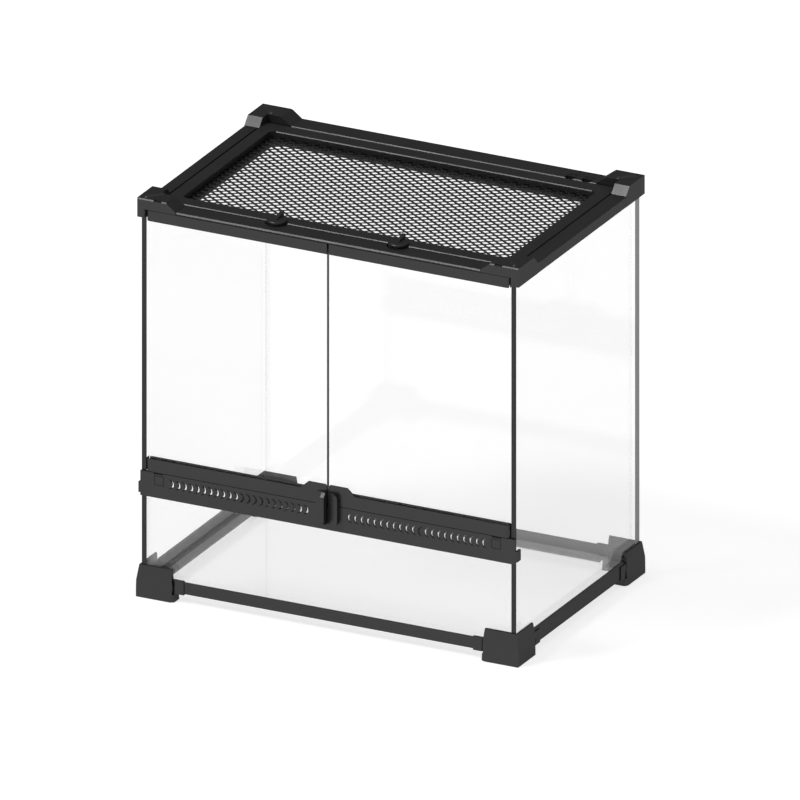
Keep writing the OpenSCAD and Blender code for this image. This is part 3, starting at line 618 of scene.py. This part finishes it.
class TERRARIUM_OT_seals(bpy.types.Operator):
    """Dress the silicone beads in the rear corners and bond the panels' ends there"""
    bl_idname = "terrarium.seals"
    bl_label = "Silicone beads"

    def execute(self, context):
        finishes = context.scene.terrarium_finishes
        paint("corner_seals", shared_material(
            "Clear silicone", silicone, finishes.silicone[:]))
        # Only the outer skin of the bond is made: from inside, the glass hides it
        bond = shared_material("Bonded glass edge", float_glass, "Z",
                               finishes.glass_tint[:], finishes.bond[:], EVERY_EDGE)
        low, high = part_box("right_glass")
        skin = high.x + BOND_STAND_OFF
        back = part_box("back_glass")[1]
        outline = [(skin, high.y - finishes.bond_width), (skin, back.y), (back.x, back.y)]
        for name, points in (("bond_right", outline), ("bond_left", mirrored(outline))):
            piece = add_piece(name, wall(points, low.z, high.z))
            piece.data.materials.append(bond)
            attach(piece, "tank")
        return {"FINISHED"}


class TERRARIUM_OT_vent_strip(bpy.types.Operator):
    """Dress the vent strip with its crescent slots"""
    bl_idname = "terrarium.vent_strip"
    bl_label = "Vent strip"

    def execute(self, context):
        dress_plastic(["vent_strip"], moulded_abs())
        return {"FINISHED"}


class TERRARIUM_OT_top_frame(bpy.types.Operator):
    """Dress the corner blocks, the top rails and the cable port covers"""
    bl_idname = "terrarium.top_frame"
    bl_label = "Top frame"

    def execute(self, context):
        dress_plastic(CORNER_BLOCKS + TOP_RAILS + PORT_COVERS, moulded_abs())
        # The photograph shows a dark line beside the lid on the left, and none as wide
        # on the right
        step_left_rail(context.scene.terrarium_finishes.lid_edge)
        return {"FINISHED"}


class TERRARIUM_OT_doors(bpy.types.Operator):
    """Dress the doors' trims and handles"""
    bl_idname = "terrarium.doors"
    bl_label = "Doors"

    def execute(self, context):
        dress_plastic(DOOR_PLASTICS, moulded_abs())
        return {"FINISHED"}


class TERRARIUM_OT_hinge_pads(bpy.types.Operator):
    """Make the pads that close the gaps beside the doors' hinge ends"""
    bl_idname = "terrarium.hinge_pads"
    bl_label = "Hinge pads"

    def execute(self, context):
        for spot, reach, foot, head in PADS:
            low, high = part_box(f"door_{spot}_trim_right")
            inner, outer = high.x + PAD_PLAY, high.x + reach
            # A slanting flank lets the trim of an open door pass
            flank = min(outer - inner, FLANK_WIDTH)
            flank_y = (low.y + high.y) / 2 - FLANK_SHIFT
            front = flank_y - FLANK_SLOPE * flank
            outline = [(inner, flank_y), (inner + flank, front)]
            if flank < outer - inner:
                outline.append((outer, front))
            outline += [(outer, high.y), (inner, high.y)]
            for name, points in ((f"pad_{spot}_right", outline),
                                 (f"pad_{spot}_left", mirrored(outline))):
                piece = add_piece(name, wall(points, low.z + foot, low.z + head,
                                             closed=True))
                piece.data.materials.append(moulded_abs())
                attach(piece, "tank")
        return {"FINISHED"}


class TERRARIUM_OT_lid(bpy.types.Operator):
    """Dress the lid frame and its turn latches"""
    bl_idname = "terrarium.lid"
    bl_label = "Lid"

    def execute(self, context):
        dress_plastic(["lid_frame"] + LATCHES, moulded_abs())
        return {"FINISHED"}


class TERRARIUM_OT_lid_mesh(bpy.types.Operator):
    """Make the lid's fine sheet of expanded metal"""
    bl_idname = "terrarium.lid_mesh"
    bl_label = "Lid mesh"

    def execute(self, context):
        settings = context.scene.terrarium_mesh
        low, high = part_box("lid_mesh")
        piece = add_piece("expanded_mesh", expanded_mesh(low, high, settings))
        solid = piece.modifiers.new("Sheet", "SOLIDIFY")
        solid.thickness = settings.thickness
        solid.offset = 0
        piece.data.materials.append(shared_material(
            "Powder coated steel", coated_mesh_metal,
            context.scene.terrarium_finishes.mesh_metal[:]))
        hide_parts("lid_mesh")
        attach(piece, "lid")
        return {"FINISHED"}


class TERRARIUM_OT_steel(bpy.types.Operator):
    """Dress the hinge pins, the lid's pivots and the latch clips"""
    bl_idname = "terrarium.steel"
    bl_label = "Pins and clips"

    def execute(self, context):
        material = shared_material("Drawn stainless steel", drawn_steel,
                                   context.scene.terrarium_finishes.steel[:])
        for node in STEEL_PARTS:
            paint(node, material)
        return {"FINISHED"}


# ---- studio ----------------------------------------------------------------------------

FLOOR_SIZE = 24.0
CAMERA_DISTANCE = 2.0
# (sine of the height above the horizon, brightness)
WORLD_BANDS = [(0.0, 1.0), (0.04, 1.0), (0.12, 0.18), (0.60, 0.18), (0.85, 0.5)]


def studio_world():
    """A studio with a pale wall low down, darkness above it and a broad soft ceiling
    light, by height above the horizon. A sharp reflection sees plain white instead."""
    world = bpy.data.worlds.new("Studio")
    bpy.context.scene.world = world
    world.use_nodes = True
    tree = world.node_tree
    tree.nodes.clear()
    direction = add_node(tree, "ShaderNodeTexCoord").outputs["Generated"]
    height = add_node(tree, "ShaderNodeSeparateXYZ", inputs={0: direction})
    ramp = add_node(tree, "ShaderNodeValToRGB", inputs={0: height.outputs["Z"]})
    stops = ramp.color_ramp.elements
    while len(stops) < len(WORLD_BANDS):
        stops.new(0.5)
    for stop, (sine, value) in zip(stops, WORLD_BANDS):
        stop.position = sine
        stop.color = (value, value, value, 1)
    # The glass mirrors white all round, and what is rougher mirrors the bands
    rays = add_node(tree, "ShaderNodeLightPath")
    seen = add_node(tree, "ShaderNodeMix", {"data_type": "RGBA"}, {
        "Factor": rays.outputs["Is Singular Ray"], "A": ramp.outputs[0],
        "B": (1, 1, 1, 1)})
    light = add_node(tree, "ShaderNodeBackground", inputs={"Color": seen.outputs[2]})
    add_node(tree, "ShaderNodeOutputWorld", inputs={"Surface": light.outputs[0]})


def studio_key(settings):
    """One broad soft light from the front left and above."""
    lamp = bpy.data.lights.new("Key", "SUN")
    lamp.energy = settings.key_strength
    lamp.angle = settings.key_angle
    key = bpy.data.objects.new("Key", lamp)
    bpy.context.scene.collection.objects.link(key)
    key.rotation_euler = Vector(settings.key_direction).to_track_quat("Z", "Y").to_euler()


def studio_camera(settings):
    """A parallel view, as the picture has, aimed beside and above the origin."""
    turn, rise = settings.azimuth, settings.elevation
    back = Vector((math.sin(turn) * math.cos(rise), -math.cos(turn) * math.cos(rise),
                   math.sin(rise)))
    right = Vector((math.cos(turn), math.sin(turn), 0))
    up = back.cross(right)
    data = bpy.data.cameras.new("Camera")
    data.type = "ORTHO"
    data.ortho_scale = settings.picture_width
    camera = bpy.data.objects.new("Camera", data)
    bpy.context.scene.collection.objects.link(camera)
    camera.location = (right * settings.aim_right + up * settings.aim_up
                       + back * CAMERA_DISTANCE)
    camera.rotation_mode = "QUATERNION"
    camera.rotation_quaternion = back.to_track_quat("Z", "Y")
    bpy.context.scene.camera = camera


class TERRARIUM_OT_stage(bpy.types.Operator):
    """Set the floor, the light and the camera"""
    bl_idname = "terrarium.stage"
    bl_label = "Stage"

    def execute(self, context):
        settings = context.scene.terrarium_stage
        ground = bmesh.new()
        bmesh.ops.create_grid(ground, x_segments=1, y_segments=1, size=FLOOR_SIZE / 2)
        floor = add_piece("floor", ground)
        floor.data.materials.append(shared_material(
            "Matt paper", studio_floor, settings.floor[:], settings.floor_wash,
            settings.floor_white))
        studio_world()
        studio_key(settings)
        studio_camera(settings)
        context.scene.view_settings.view_transform = "Standard"
        return {"FINISHED"}


# ---- add-on ----------------------------------------------------------------------------

MAKERS = [TERRARIUM_OT_base, TERRARIUM_OT_glass, TERRARIUM_OT_edge_strips,
          TERRARIUM_OT_seals, TERRARIUM_OT_vent_strip, TERRARIUM_OT_top_frame,
          TERRARIUM_OT_doors, TERRARIUM_OT_hinge_pads, TERRARIUM_OT_lid,
          TERRARIUM_OT_lid_mesh, TERRARIUM_OT_steel, TERRARIUM_OT_stage]
SETTINGS = {"terrarium_finishes": TerrariumFinishes, "terrarium_mesh": TerrariumMesh,
            "terrarium_stage": TerrariumStage}


class TERRARIUM_PT_panel(bpy.types.Panel):
    """Lists the terrarium's settings and what makes its pieces"""
    bl_idname = "TERRARIUM_PT_panel"
    bl_label = "Terrarium"
    bl_space_type = "VIEW_3D"
    bl_region_type = "UI"
    bl_category = "Terrarium"

    def draw(self, context):
        for group in SETTINGS:
            settings = getattr(context.scene, group)
            box = self.layout.box()
            for name in settings.bl_rna.properties.keys():
                if name not in ("rna_type", "name"):
                    box.prop(settings, name)
        for maker in MAKERS:
            self.layout.operator(maker.bl_idname)


def register():
    for cls in [*SETTINGS.values(), *MAKERS, TERRARIUM_PT_panel]:
        bpy.utils.register_class(cls)
    for name, group in SETTINGS.items():
        setattr(bpy.types.Scene, name, bpy.props.PointerProperty(type=group))


def unregister():
    for name in SETTINGS:
        delattr(bpy.types.Scene, name)
    for cls in [TERRARIUM_PT_panel, *MAKERS, *SETTINGS.values()]:
        bpy.utils.unregister_class(cls)


def main():
    register()
    for maker in MAKERS:
        group, name = maker.bl_idname.split(".")
        getattr(getattr(bpy.ops, group), name)()


if __name__ == "__main__":
    main()
